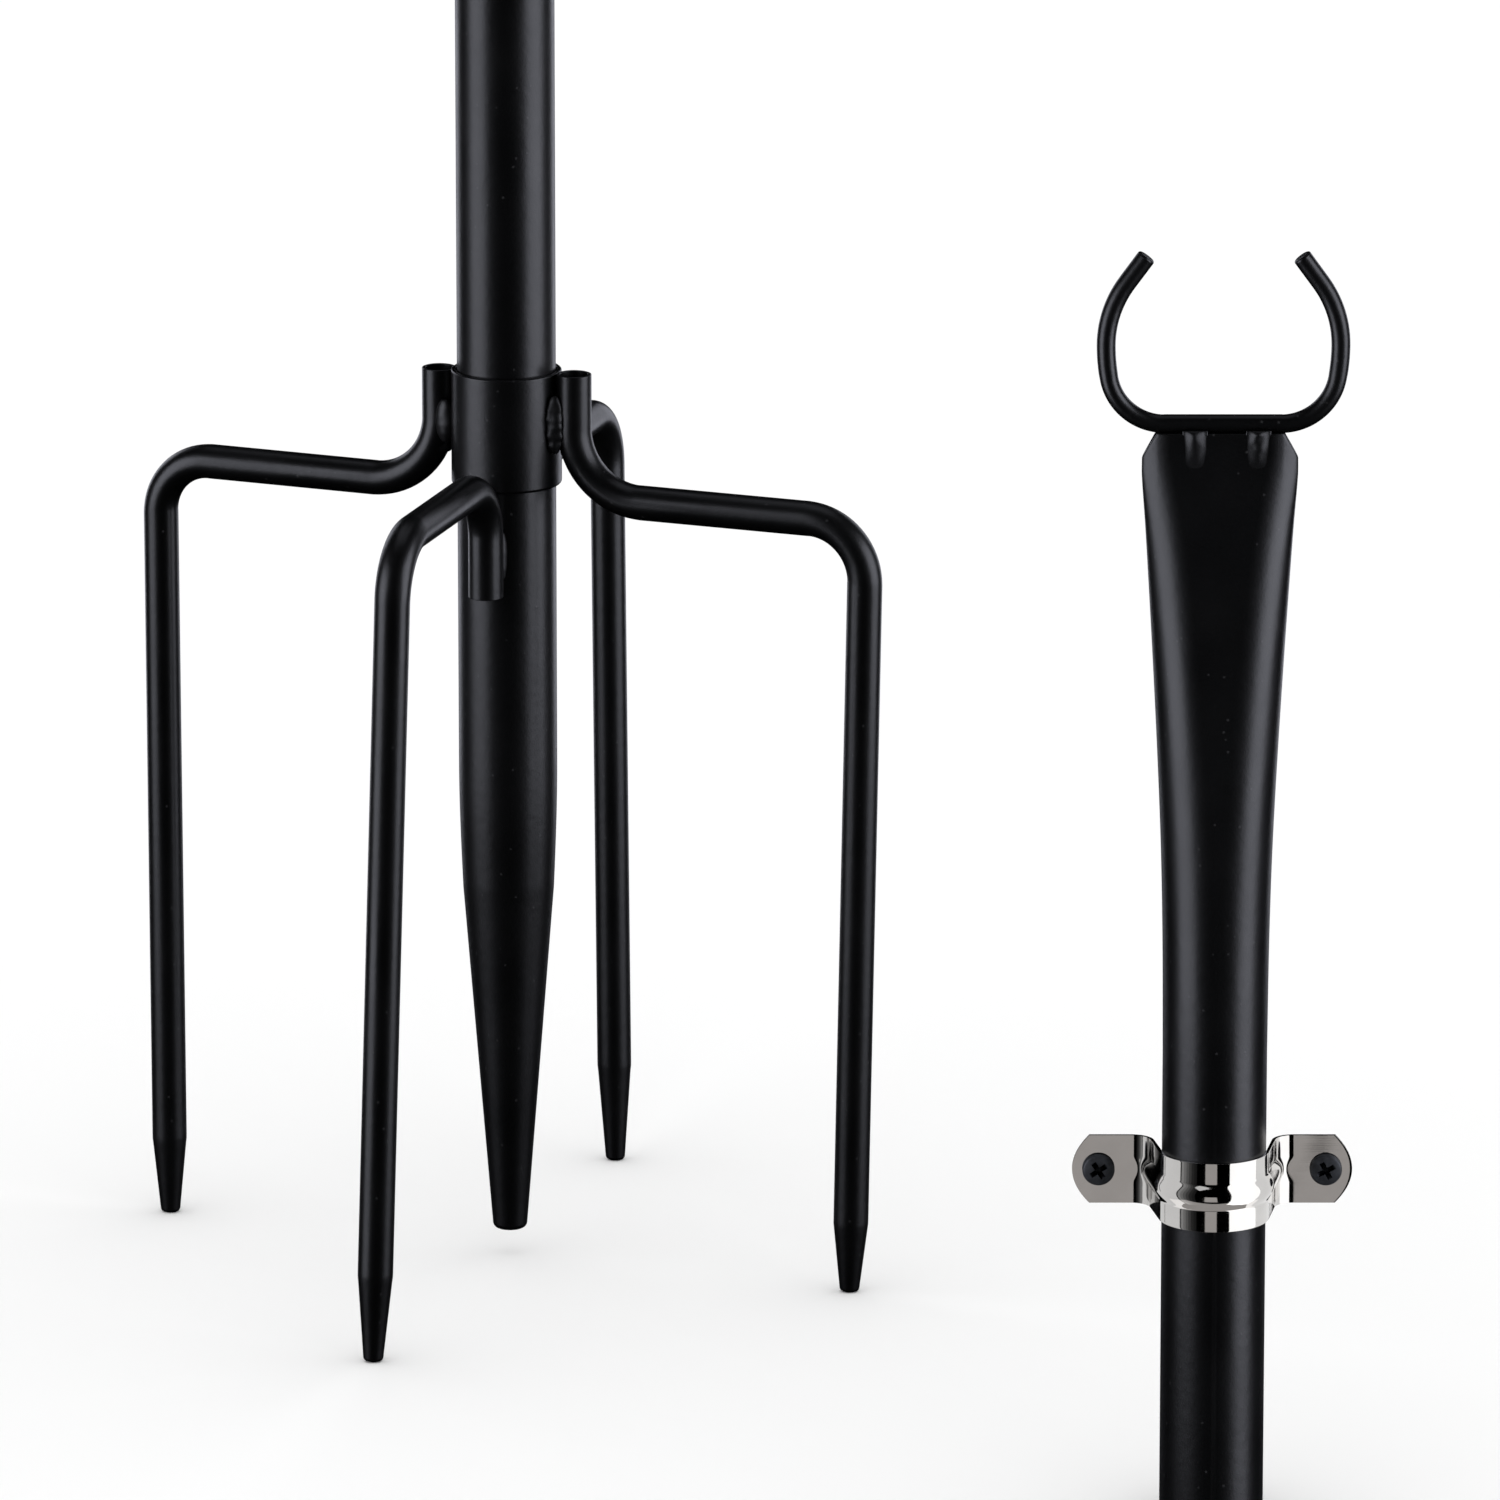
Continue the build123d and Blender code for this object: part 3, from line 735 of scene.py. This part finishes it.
def cradle_rings():
    """Rings of the whole wire, from its left end to its right end."""
    middle = TOP + Vector((CRADLE_SHIFT, 0, bar_z))
    side = Vector((0, 1, 0))
    right = cradle_half()
    left = []
    for point, forward, radius, bend in reversed(right[1:]):
        mirrored = Vector((-point.x, 0, point.z))
        left.append((mirrored, Vector((forward.x, 0, -forward.z)), radius, bend))
    rings = [[middle + left[0][0]]]
    for point, forward, radius, bend in left + right:
        rings.append(tube_ring(middle + point, forward, side, radius, bend, 40))
    rings.append([middle + right[-1][0]])
    return rings


piece(
    new_mesh("Cradle", *skin(cradle_rings())),
    BLACK, "top_section", "black_powder_coat", "cradle",
)

# ---- cradle welds: soft mounds that run down from the bar and fade into the flat front ----
MOUND_HALF = 3.0  # half width
MOUND_RISE = 1.05  # height over the face
MOUND_LENGTH = 9.8
MOUND_DROP = 0.9  # its top lies this far under the middle of the bar
MOUND_SINK = 0.05  # how far its edge lies under the face
MOUND_ROOT = 0.5  # how far it reaches into the wall


def face_depth(x, height):
    """Half thickness of the pressed tube at a distance x from its middle."""
    section = flare_section(min(height, TOP_Z), 0)
    depth = section[0][1]
    for (x0, y0), (x1, y1) in zip(section, section[1:]):
        if x0 <= abs(x) <= x1:
            depth = y0 + (y1 - y0) * (abs(x) - x0) / (x1 - x0)
            break
    return depth


def mound_rings(x, top_z, seed, rows=40, steps=24):
    """Rings of a bell-shaped mound along the leaning front face, shallower towards its foot."""
    rings = []
    for k in range(1, rows):
        share = k / rows
        height = top_z - MOUND_LENGTH * share
        start = min(1.0, share / 0.1) ** 0.5
        rise = MOUND_RISE * start * math.cos(math.pi / 2 * share) ** 1.2
        sway = 0.2 * math.sin(seed + 3 * share)
        front, back = [], []
        for j in range(steps + 1):
            across = 2 * j / steps - 1
            place_x = x + sway + MOUND_HALF * across
            place = Vector((place_x, MOUND_SINK - face_depth(place_x, height), height))
            lump = 1 + 0.35 * noise.noise(place * 0.45 + Vector((0, seed, 0)))
            bell = math.cos(math.pi / 2 * across) ** 2
            front.append(TOP + place - Vector((0, rise * bell * lump, 0)))
            back.append(TOP + place + Vector((0, MOUND_ROOT, 0)))
        rings.append(front + back[::-1])
    top_end = [sum(rings[0], Vector()) / len(rings[0])]
    foot_end = [sum(rings[-1], Vector()) / len(rings[-1])]
    return [top_end] + rings + [foot_end]


CRADLE_WELDS = {"left": -6.2, "right": 9.1}  # sideways from the pole's axis
for side_name, offset in CRADLE_WELDS.items():
    mound = skin(mound_rings(offset, bar_z - MOUND_DROP, offset))
    piece(
        new_mesh(f"Weld_Cradle_{side_name.title()}", *mound),
        WELD, "top_section", "coated_weld", f"weld_cradle_{side_name}",
    )

# ---- saddle strap: one bent sheet whose middle rib fades out through the concave bends ----
SHEET = 0.8
STRAP_GAP = 0.08  # between the pole and the band
RING_MID_R = POLE_R + STRAP_GAP + SHEET / 2
EAR_MID_Y = POLE_R - SHEET / 2
BAND_HALF = 8.6  # half height of the sheet
SPAN_HALF = (strap_high.x - strap_low.x) / 2
LEAN = math.radians(80)  # how far the band wraps round each side of the pole
RIB_RISE = 1.3
RIB_HALF = 3.3
BEND_R = 5.2  # bend from side wall to ear, at the sheet's middle
RIB_BEND_R = 1.9  # the same bend where the rib runs through it
EAR_FALL = 4.2  # how much shorter the ear is at its corners
RING_STEPS, WALL_STEPS, BEND_STEPS, EAR_STEPS = 60, 14, 26, 24


def rib(v):
    """Height of the rib at a distance v from the middle of the band."""
    if abs(v) >= RIB_HALF:
        return 0.0
    share = abs(v) / RIB_HALF
    return RIB_RISE * (1 - share ** 2.2) ** 1.5


def strap_half(v):
    """Points of the right half of the sheet's middle surface at height v, front to ear end."""
    rise = rib(v)
    radius = RING_MID_R + rise
    bend_r = BEND_R - (BEND_R - RIB_BEND_R) * rise / RIB_RISE
    heading = Vector((math.cos(LEAN), math.sin(LEAN)))
    points = []
    for k in range(RING_STEPS + 1):
        angle = LEAN * k / RING_STEPS
        points.append(Vector((radius * math.sin(angle), -radius * math.cos(angle))))
    foot = points[-1]
    corner = foot + heading * (EAR_MID_Y - foot.y) / heading.y
    leg = bend_r * math.tan(LEAN / 2)
    wall_end = corner - heading * leg
    for k in range(1, WALL_STEPS + 1):
        points.append(foot.lerp(wall_end, k / WALL_STEPS))
    centre = wall_end + Vector((heading.y, -heading.x)) * bend_r
    for k in range(1, BEND_STEPS + 1):
        angle = LEAN * (1 - k / BEND_STEPS)
        points.append(centre + Vector((-math.sin(angle), math.cos(angle))) * bend_r)
    ear_start = points[-1]
    ear_end = SPAN_HALF - EAR_FALL * (v / BAND_HALF) ** 2
    for k in range(1, EAR_STEPS + 1):
        points.append(Vector((ear_start.x + (ear_end - ear_start.x) * k / EAR_STEPS, EAR_MID_Y)))
    return points


def strap_mesh(rows=57):
    """Middle surface of the whole sheet."""
    verts, faces = [], []
    for j in range(rows):
        v = BAND_HALF * (2 * j / (rows - 1) - 1)
        half = strap_half(v)
        whole = [Vector((-p.x, p.y)) for p in reversed(half[1:])] + half
        verts.extend(TOP + Vector((p.x, p.y, STRAP_Z + v)) for p in whole)
    across = len(verts) // rows
    for j in range(rows - 1):
        for k in range(across - 1):
            start = j * across + k
            faces.append((start, start + 1, start + across + 1, start + across))
    return verts, faces


def drill(thing, place, radius, direction, depth):
    """Cuts a round hole through a mesh."""
    start, end = place - direction * depth, place + direction * depth
    side = direction.orthogonal().normalized()
    rings = [tube_ring(point, direction, side, radius, around=48) for point in (start, end)]
    cut_away(thing, *skin([[start]] + rings + [[end]]))


strap = new_mesh("Saddle_Strap", *strap_mesh())
thick = strap.modifiers.new("sheet", "SOLIDIFY")
thick.thickness = SHEET * MM
thick.offset = 0.0
thick.use_even_offset = True
settle(strap)
SCREW_HALF = 27.8  # half the distance between the screws
HOLE_R = 2.4
for turn in (-1, 1):
    hole = TOP + Vector((turn * SCREW_HALF, EAR_MID_Y, STRAP_Z))
    drill(strap, hole, HOLE_R, Vector((0, 1, 0)), depth=3.0)
soften(strap, width=0.14, segments=3, angle=50)
piece(strap, STEEL, "saddle_strap", "polished_steel", "strap")


# ---- screws: pan head with a tapered cross recess, threaded shank, drawn point ----
HEAD_R = 3.95
HEAD_HEIGHT = 1.9
SHANK_R = 1.9
SHANK_LENGTH = 17.0
POINT_LENGTH = 4.5
NECK_SHARE = 0.93  # radius of the plain neck, as a share of the shank's
ROOT_SHARE = 0.74  # the same for the root of the thread
THREAD_PITCH = 1.4
CREST_HALF = 0.28  # half width of a crest, as a share of the pitch
THREAD_START = 2.4  # below the head
THREAD_RUN_OUT = 1.2  # length over which the thread grows from the neck


def head_profile():
    """(radius, distance along +Y) from the top of the head to the plain neck under it."""
    dome_steps = 16
    profile = [(0.0, -HEAD_HEIGHT)]
    for k in range(1, dome_steps + 1):
        r = (HEAD_R - 0.35) * k / dome_steps
        profile.append((r, -HEAD_HEIGHT + 0.75 * (r / HEAD_R) ** 2.4))
    profile += [(HEAD_R - 0.12, -1.08), (HEAD_R, -0.8), (HEAD_R, -0.18), (HEAD_R - 0.15, 0.0)]
    neck_r = SHANK_R * NECK_SHARE
    return profile + [(SHANK_R + 0.1, 0.0), (neck_r, 0.15), (neck_r, THREAD_START - 0.2)]


def screw_rings(around=64, steps=150):
    """Rings of a screw along +Y, from the top of its head to its point."""
    rings = []
    for r, y in head_profile():
        if r == 0:
            rings.append([Vector((0, y, 0))])
        else:
            circle = (polar(360 * k / around, r, 0) for k in range(around))
            rings.append([Vector((spoke.x, y, spoke.y)) for spoke in circle])
    end = SHANK_LENGTH + POINT_LENGTH
    for k in range(steps):
        y = THREAD_START + (end - THREAD_START - 0.15) * k / (steps - 1)
        fade = min(1.0, (y - THREAD_START) / THREAD_RUN_OUT)
        envelope = 1.0 if y < SHANK_LENGTH else max(0.04, (end - y) / POINT_LENGTH)
        ring = []
        for j in range(around):
            angle = 2 * math.pi * j / around
            phase = (y / THREAD_PITCH - angle / (2 * math.pi)) % 1.0
            crest = max(0.0, 1 - abs(phase - 0.5) / CREST_HALF)
            relief = (1 - ROOT_SHARE) * crest * fade + (NECK_SHARE - ROOT_SHARE) * (1 - fade)
            r = SHANK_R * (ROOT_SHARE + relief) * envelope
            ring.append(Vector((r * math.cos(angle), y, r * math.sin(angle))))
        rings.append(ring)
    rings.append([Vector((0, end, 0))])
    return rings


# distance along +Y, half length and half width of an arm of the recess, from above the head inwards
RECESS = [(-HEAD_HEIGHT - 0.6, 2.75, 0.74), (-HEAD_HEIGHT, 2.45, 0.66), (-0.3, 1.25, 0.40)]


def recess_arms(centre, turn):
    """The two crossing tapered blocks of a driver's recess, as skins."""
    arms = []
    for quarter in (0, 90):
        angle = math.radians(turn + quarter)
        lengthways = Vector((math.cos(angle), 0, math.sin(angle)))
        sideways = Vector((-math.sin(angle), 0, math.cos(angle)))
        rings = []
        for level, length, width in RECESS:
            corners = [(-1, -1), (1, -1), (1, 1), (-1, 1)]
            ring = [centre + lengthways * length * a + sideways * width * b for a, b in corners]
            rings.append([corner + Vector((0, level, 0)) for corner in ring])
        lid, floor = sum(rings[0], Vector()) / 4, sum(rings[-1], Vector()) / 4
        arms.append(skin([[lid]] + rings + [[floor]]))
    return arms


def make_screw(name, sideways, recess_turn, body):
    """A screw through the left (-1) or right (1) ear, its recess turned by an angle in degrees."""
    under_head = TOP + Vector((sideways * SCREW_HALF, EAR_MID_Y - SHEET / 2 - 0.05, STRAP_Z))
    rings = [[point + under_head for point in ring] for ring in screw_rings()]
    thing = new_mesh(name, *skin(rings))
    for arm in recess_arms(under_head, recess_turn):
        cut_away(thing, *arm)
    soften(thing, width=0.09, segments=2, angle=48)
    piece(thing, SCREW, body, "black_screw", name.lower())


make_screw("Screw_Left", -1, 33.0, "left_screw")
make_screw("Screw_Right", 1, 28.0, "right_screw")


# ---- floor, light and camera ----
FLOOR_REACH = 30.0  # metres


def stage_floor():
    """Pale floor that reaches past the picture; shiny parts don't mirror it."""
    corners = [(x * FLOOR_REACH, y * FLOOR_REACH, 0) for x, y in ((-1, -1), (1, -1), (1, 1), (-1, 1))]
    mesh = bpy.data.meshes.new("floor")
    mesh.from_pydata(corners, [], [(0, 1, 2, 3)])
    floor = bpy.data.objects.new("floor", mesh)
    bpy.context.scene.collection.objects.link(floor)
    material, tree, principled, where = shader("pale_floor", (0.9, 0.9, 0.9), 0.9, specular=0.0)
    patches = grain(tree, where, scale=3.0)
    tint(tree, principled, patches, dark=(0.895, 0.895, 0.895), light=(0.905, 0.905, 0.905))
    mesh.materials.append(material)
    floor.visible_glossy = False
    floor.visible_shadow = False
    floor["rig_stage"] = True


def light_group(name, things):
    """Objects that a light is meant for."""
    group = bpy.data.collections.new(name)
    for thing in things:
        group.objects.link(thing)
    return group


def panel(name, group, around, azimuth, elevation, distance, width, height, radiance, colour):
    """Soft box that faces a point, at an azimuth from the camera's side, for a group of objects."""
    turn, rise = math.radians(azimuth), math.radians(elevation)
    sideways, towards = math.sin(turn) * math.cos(rise), -math.cos(turn) * math.cos(rise)
    back = Vector((sideways, towards, math.sin(rise)))
    light = bpy.data.lights.new(name, "AREA")
    light.shape = "RECTANGLE"
    light.size, light.size_y = width, height
    light.energy = radiance * width * height * math.pi
    light.color = colour
    lamp = bpy.data.objects.new(name, light)
    lamp.location = around + back * distance
    lamp.rotation_euler = (-back).to_track_quat("-Z", "Y").to_euler()
    lamp.visible_camera = False
    lamp.light_linking.receiver_collection = group
    bpy.context.scene.collection.objects.link(lamp)


stage_floor()
left_bodies = ("stake_base", "pole_tube")
stake_things = [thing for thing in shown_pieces() if thing["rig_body"] in left_bodies]
head_things = [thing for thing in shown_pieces() if thing not in stake_things and thing is not strap]
stake = light_group("stake", stake_things)
steel = light_group("steel", [strap])
head = light_group("head", head_things)

FLARE_MIDDLE_Z = 210.0
stake_middle = (spike_low + spike_high) / 2 * MM
head_middle = Vector((TOP.x, TOP.y, TOP_Z / 2)) * MM
flare_middle = Vector((TOP.x, TOP.y, FLARE_MIDDLE_Z)) * MM
strap_middle = Vector((TOP.x, TOP.y, STRAP_Z)) * MM

PLAIN = (1.0, 1.0, 1.0)
WARM = (1.0, 0.95, 0.92)
COOL = (0.94, 0.96, 1.08)
# name, what it lights, what it faces, azimuth, elevation, distance, width, height, radiance, colour
PANELS = [
    ("stake_left", stake, stake_middle, -67.0, 11.0, 1.3, 1.00, 1.20, 2.9, COOL),
    ("stake_right", stake, stake_middle, 73.0, 11.0, 1.3, 1.10, 1.20, 3.1, COOL),
    ("stake_back_left", stake, stake_middle, -148.0, 6.0, 1.6, 0.7, 1.2, 1.4, COOL),
    ("stake_back_right", stake, stake_middle, 148.0, 6.0, 1.6, 0.7, 1.2, 1.4, COOL),
    ("stake_top", stake, stake_middle, 180.0, 78.0, 1.3, 0.9, 0.9, 0.45, COOL),
    ("head_left", head, flare_middle, -64.0, 0.0, 0.5, 0.36, 0.50, 3.1, COOL),
    ("head_right", head, head_middle, 66.0, 9.0, 1.3, 0.92, 1.5, 3.6, COOL),
    ("head_back_left", head, head_middle, -148.0, 6.0, 1.6, 0.7, 1.2, 1.4, COOL),
    ("head_back_right", head, head_middle, 148.0, 6.0, 1.6, 0.7, 1.2, 1.4, COOL),
    ("head_top", head, head_middle, 180.0, 78.0, 1.3, 0.9, 0.9, 0.3, COOL),
    ("steel_front", steel, strap_middle, -6.0, -17.0, 1.8, 0.70, 1.10, 0.46, WARM),
    ("steel_right", steel, strap_middle, 63.0, 0.0, 0.8, 1.02, 2.6, 1.70, PLAIN),
    ("steel_far_right", steel, strap_middle, 128.0, 0.0, 0.8, 1.0, 2.6, 1.0, PLAIN),
    ("steel_far_left", steel, strap_middle, -110.0, 0.0, 0.8, 1.16, 2.6, 0.85, PLAIN),
    ("steel_top", steel, strap_middle, 20.0, 76.0, 0.8, 1.4, 0.8, 0.75, PLAIN),
    ("steel_foot", steel, strap_middle, 0.0, -80.0, 0.6, 1.6, 0.8, 0.40, WARM),
]
STRIP_FROM = -38.0  # azimuth of the innermost narrow panel beside the strap
STRIP_TURN = 6.0  # degrees that each narrow panel spans
STRIP_DISTANCE, STRIP_HEIGHT = 0.8, 2.6
STRIP_WIDTH = 2 * STRIP_DISTANCE * math.tan(math.radians(STRIP_TURN / 2))
for step in range(6):  # the left side brightens outward in steps, like a curved backdrop
    azimuth = STRIP_FROM - STRIP_TURN * step
    glow = 0.015 + 0.012 * step ** 2
    size = (STRIP_WIDTH, STRIP_HEIGHT)
    place = (strap_middle, azimuth, 0.0, STRIP_DISTANCE)
    PANELS.append((f"steel_left_{step}", steel, *place, *size, glow, PLAIN))
for values in PANELS:
    panel(*values)

world = bpy.data.worlds.new("studio")
bpy.context.scene.world = world
world.use_nodes = True
background = world.node_tree.nodes["Background"]
background.inputs["Color"].default_value = (1, 1, 1, 1)
background.inputs["Strength"].default_value = 1.14
world.cycles_visibility.glossy = False

CAMERA_TILT = 75.4  # degrees up from looking straight down
CAMERA_PLACE = (0.0625, -3.4508, 1.0341)
LENS = 331.3
camera = bpy.data.objects.new("camera", bpy.data.cameras.new("camera"))
bpy.context.scene.collection.objects.link(camera)
camera.location = CAMERA_PLACE
camera.rotation_euler = (math.radians(CAMERA_TILT), 0, 0)
camera.data.lens = LENS
camera.data.sensor_width = 36.0
camera.data.clip_start = 0.1
camera.data.clip_end = 100.0
bpy.context.scene.camera = camera
bpy.context.scene.view_settings.view_transform = "Standard"

low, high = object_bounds()
